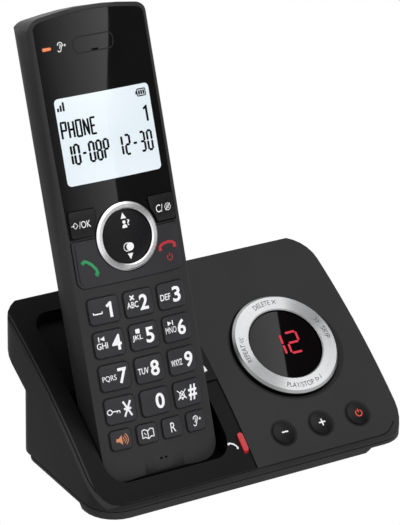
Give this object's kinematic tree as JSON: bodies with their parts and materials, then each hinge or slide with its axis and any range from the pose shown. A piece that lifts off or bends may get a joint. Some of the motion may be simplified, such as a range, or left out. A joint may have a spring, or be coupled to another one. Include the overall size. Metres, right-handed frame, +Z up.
{
  "type": "answering machine",
  "caption": "Cordless telephone answering machine: a wedge base with message display, control ring and buttons, and a keypad handset standing in its cradle.",
  "frame": {"origin": "middle of the bottom of the overall box, on the desk", "axes": "+Z up, front faces -Y, +X to the right seen from the front"},
  "size_m": [0.134, 0.0858, 0.168],
  "materials": {
    "base_housing": "fine matte texture",
    "cradle_plastic": "fine matte texture",
    "handset_housing": "fine matte texture",
    "key_plastic": "satin",
    "dark_key_plastic": "satin",
    "rubber": "matte",
    "keypad_silicone": "matte",
    "silver_ring": "brushed",
    "lens_gloss": "polished",
    "display_glass": "satin",
    "digit_module": "satin",
    "red_light": "glossy",
    "orange_light": "glossy",
    "screw_steel": "plated",
    "contact_metal": "gold plated",
    "spring_steel": "plated",
    "circuit_board": "lacquered",
    "black_component": "matte",
    "switch_metal": "satin",
    "cell_wrap": "glossy"
  },
  "bodies": {
    "base": {"base_bottom_shell": "base_housing", "base_top_shell": "base_housing", "cradle_insert": "cradle_plastic", "rubber_feet": "rubber", "base_screws": "screw_steel", "speaker": "black_component", "base_circuit_board": "circuit_board", "button_board": "circuit_board", "base_switches": "switch_metal", "digit_display": "digit_module", "display_window": "lens_gloss", "in_use_light": "red_light", "line_socket": "black_component", "power_socket": "black_component"},
    "handset": {"handset_front_shell": "handset_housing", "handset_back_shell": "handset_housing", "display_lens": "lens_gloss", "lcd_panel": "display_glass", "nav_ring": "silver_ring", "keypad_mat": "keypad_silicone", "handset_circuit_board": "circuit_board", "earpiece": "switch_metal", "microphone": "switch_metal", "ringer": "black_component", "indicator_light": "orange_light", "handset_contacts": "contact_metal", "battery_cells": "cell_wrap", "battery_contacts": "spring_steel", "handset_screws": "screw_steel"},
    "battery_door": {"battery_door": "handset_housing"},
    "ring_carrier": {"ring_carrier": "black_component"},
    "message_ring": {"message_ring": "silver_ring"},
    "volume_down_button": {"volume_down_button": "dark_key_plastic"},
    "volume_up_button": {"volume_up_button": "dark_key_plastic"},
    "power_button": {"power_button": "dark_key_plastic"},
    "find_handset_button": {"find_handset_button": "dark_key_plastic"},
    "charge_contact_left": {"charge_contact_left": "contact_metal"},
    "charge_contact_right": {"charge_contact_right": "contact_metal"},
    "nav_rocker": {"nav_rocker": "dark_key_plastic"},
    "call_key": {"call_key": "key_plastic"},
    "soft_key_left": {"soft_key_left": "dark_key_plastic"},
    "soft_key_right": {"soft_key_right": "dark_key_plastic"},
    "key_1": {"key_1": "key_plastic"},
    "key_2": {"key_2": "key_plastic"},
    "key_3": {"key_3": "key_plastic"},
    "key_4": {"key_4": "key_plastic"},
    "key_5": {"key_5": "key_plastic"},
    "key_6": {"key_6": "key_plastic"},
    "key_7": {"key_7": "key_plastic"},
    "key_8": {"key_8": "key_plastic"},
    "key_9": {"key_9": "key_plastic"},
    "key_star": {"key_star": "key_plastic"},
    "key_0": {"key_0": "key_plastic"},
    "key_hash": {"key_hash": "key_plastic"},
    "speaker_key": {"speaker_key": "key_plastic"},
    "phonebook_key": {"phonebook_key": "key_plastic"},
    "recall_key": {"recall_key": "key_plastic"},
    "boost_key": {"boost_key": "key_plastic"}
  },
  "joints": [
    {"name": "handset_lift", "type": "slide", "parent": "base", "child": "handset", "axis": [0, 0.3486, 0.9373], "range_m": [0, 0.09]},
    {"name": "battery_door_lift_off", "type": "slide", "parent": "handset", "child": "battery_door", "axis": [0, 0.9373, -0.3486], "range_m": [0, 0.014]},
    {"name": "soft_key_left_press", "type": "slide", "parent": "handset", "child": "soft_key_left", "axis": [0, 0.9373, -0.3486], "range_m": [0, 0.0008], "stiffness_N_per_m": 300, "springref_m": -0.0003},
    {"name": "soft_key_right_press", "type": "slide", "parent": "handset", "child": "soft_key_right", "axis": [0, 0.9373, -0.3486], "range_m": [0, 0.0008], "stiffness_N_per_m": 300, "springref_m": -0.0003},
    {"name": "key_1_press", "type": "slide", "parent": "handset", "child": "key_1", "axis": [0, 0.9373, -0.3486], "range_m": [0, 0.0008], "stiffness_N_per_m": 300, "springref_m": -0.0003},
    {"name": "key_2_press", "type": "slide", "parent": "handset", "child": "key_2", "axis": [0, 0.9373, -0.3486], "range_m": [0, 0.0008], "stiffness_N_per_m": 300, "springref_m": -0.0003},
    {"name": "key_3_press", "type": "slide", "parent": "handset", "child": "key_3", "axis": [0, 0.9373, -0.3486], "range_m": [0, 0.0008], "stiffness_N_per_m": 300, "springref_m": -0.0003},
    {"name": "key_4_press", "type": "slide", "parent": "handset", "child": "key_4", "axis": [0, 0.9373, -0.3486], "range_m": [0, 0.0008], "stiffness_N_per_m": 300, "springref_m": -0.0003},
    {"name": "key_5_press", "type": "slide", "parent": "handset", "child": "key_5", "axis": [0, 0.9373, -0.3486], "range_m": [0, 0.0008], "stiffness_N_per_m": 300, "springref_m": -0.0003},
    {"name": "key_6_press", "type": "slide", "parent": "handset", "child": "key_6", "axis": [0, 0.9373, -0.3486], "range_m": [0, 0.0008], "stiffness_N_per_m": 300, "springref_m": -0.0003},
    {"name": "key_7_press", "type": "slide", "parent": "handset", "child": "key_7", "axis": [0, 0.9373, -0.3486], "range_m": [0, 0.0008], "stiffness_N_per_m": 300, "springref_m": -0.0003},
    {"name": "key_8_press", "type": "slide", "parent": "handset", "child": "key_8", "axis": [0, 0.9373, -0.3486], "range_m": [0, 0.0008], "stiffness_N_per_m": 300, "springref_m": -0.0003},
    {"name": "key_9_press", "type": "slide", "parent": "handset", "child": "key_9", "axis": [0, 0.9373, -0.3486], "range_m": [0, 0.0008], "stiffness_N_per_m": 300, "springref_m": -0.0003},
    {"name": "key_star_press", "type": "slide", "parent": "handset", "child": "key_star", "axis": [0, 0.9373, -0.3486], "range_m": [0, 0.0008], "stiffness_N_per_m": 300, "springref_m": -0.0003},
    {"name": "key_0_press", "type": "slide", "parent": "handset", "child": "key_0", "axis": [0, 0.9373, -0.3486], "range_m": [0, 0.0008], "stiffness_N_per_m": 300, "springref_m": -0.0003},
    {"name": "key_hash_press", "type": "slide", "parent": "handset", "child": "key_hash", "axis": [0, 0.9373, -0.3486], "range_m": [0, 0.0008], "stiffness_N_per_m": 300, "springref_m": -0.0003},
    {"name": "speaker_key_press", "type": "slide", "parent": "handset", "child": "speaker_key", "axis": [0, 0.9373, -0.3486], "range_m": [0, 0.0008], "stiffness_N_per_m": 300, "springref_m": -0.0003},
    {"name": "phonebook_key_press", "type": "slide", "parent": "handset", "child": "phonebook_key", "axis": [0, 0.9373, -0.3486], "range_m": [0, 0.0008], "stiffness_N_per_m": 300, "springref_m": -0.0003},
    {"name": "recall_key_press", "type": "slide", "parent": "handset", "child": "recall_key", "axis": [0, 0.9373, -0.3486], "range_m": [0, 0.0008], "stiffness_N_per_m": 300, "springref_m": -0.0003},
    {"name": "boost_key_press", "type": "slide", "parent": "handset", "child": "boost_key", "axis": [0, 0.9373, -0.3486], "range_m": [0, 0.0008], "stiffness_N_per_m": 300, "springref_m": -0.0003},
    {"name": "nav_rocker_tilt", "type": "hinge", "parent": "handset", "child": "nav_rocker", "pos_m": [-0.03295, 0.00293, 0.08872], "axis": [1, 0, 0], "range_deg": [-3, 3], "stiffness_Nm_per_rad": 0.5},
    {"name": "call_key_tilt", "type": "hinge", "parent": "handset", "child": "call_key", "pos_m": [-0.03295, 0.00014, 0.08122], "axis": [0, 0.3486, 0.9373], "range_deg": [-2.5, 2.5], "stiffness_Nm_per_rad": 0.5},
    {"name": "volume_down_button_press", "type": "slide", "parent": "base", "child": "volume_down_button", "axis": [0, 0.643, -0.7658], "range_m": [0, 0.0005], "stiffness_N_per_m": 400, "springref_m": -0.0003},
    {"name": "volume_up_button_press", "type": "slide", "parent": "base", "child": "volume_up_button", "axis": [0, 0.643, -0.7658], "range_m": [0, 0.0005], "stiffness_N_per_m": 400, "springref_m": -0.0003},
    {"name": "power_button_press", "type": "slide", "parent": "base", "child": "power_button", "axis": [0, 0.643, -0.7658], "range_m": [0, 0.0005], "stiffness_N_per_m": 400, "springref_m": -0.0003},
    {"name": "find_handset_button_press", "type": "slide", "parent": "base", "child": "find_handset_button", "axis": [0, 0.545, -0.8384], "range_m": [0, 0.0005], "stiffness_N_per_m": 400, "springref_m": -0.0003},
    {"name": "ring_tilt_sideways", "type": "hinge", "parent": "base", "child": "ring_carrier", "pos_m": [0.03375, -0.00153, 0.02862], "axis": [0, 0.809, 0.5878], "range_deg": [-1.5, 1.5], "stiffness_Nm_per_rad": 0.8},
    {"name": "ring_tilt_up_down", "type": "hinge", "parent": "ring_carrier", "child": "message_ring", "pos_m": [0.03375, -0.00294, 0.03056], "axis": [1, 0, 0], "range_deg": [-1.5, 1.5], "stiffness_Nm_per_rad": 0.8},
    {"name": "charge_contact_left_press", "type": "slide", "parent": "base", "child": "charge_contact_left", "axis": [0, 0.6773, -0.7357], "range_m": [0, 0.0008], "stiffness_N_per_m": 300, "springref_m": -0.0003},
    {"name": "charge_contact_right_press", "type": "slide", "parent": "base", "child": "charge_contact_right", "axis": [0, 0.6773, -0.7357], "range_m": [0, 0.0008], "stiffness_N_per_m": 300, "springref_m": -0.0003}
  ]
}
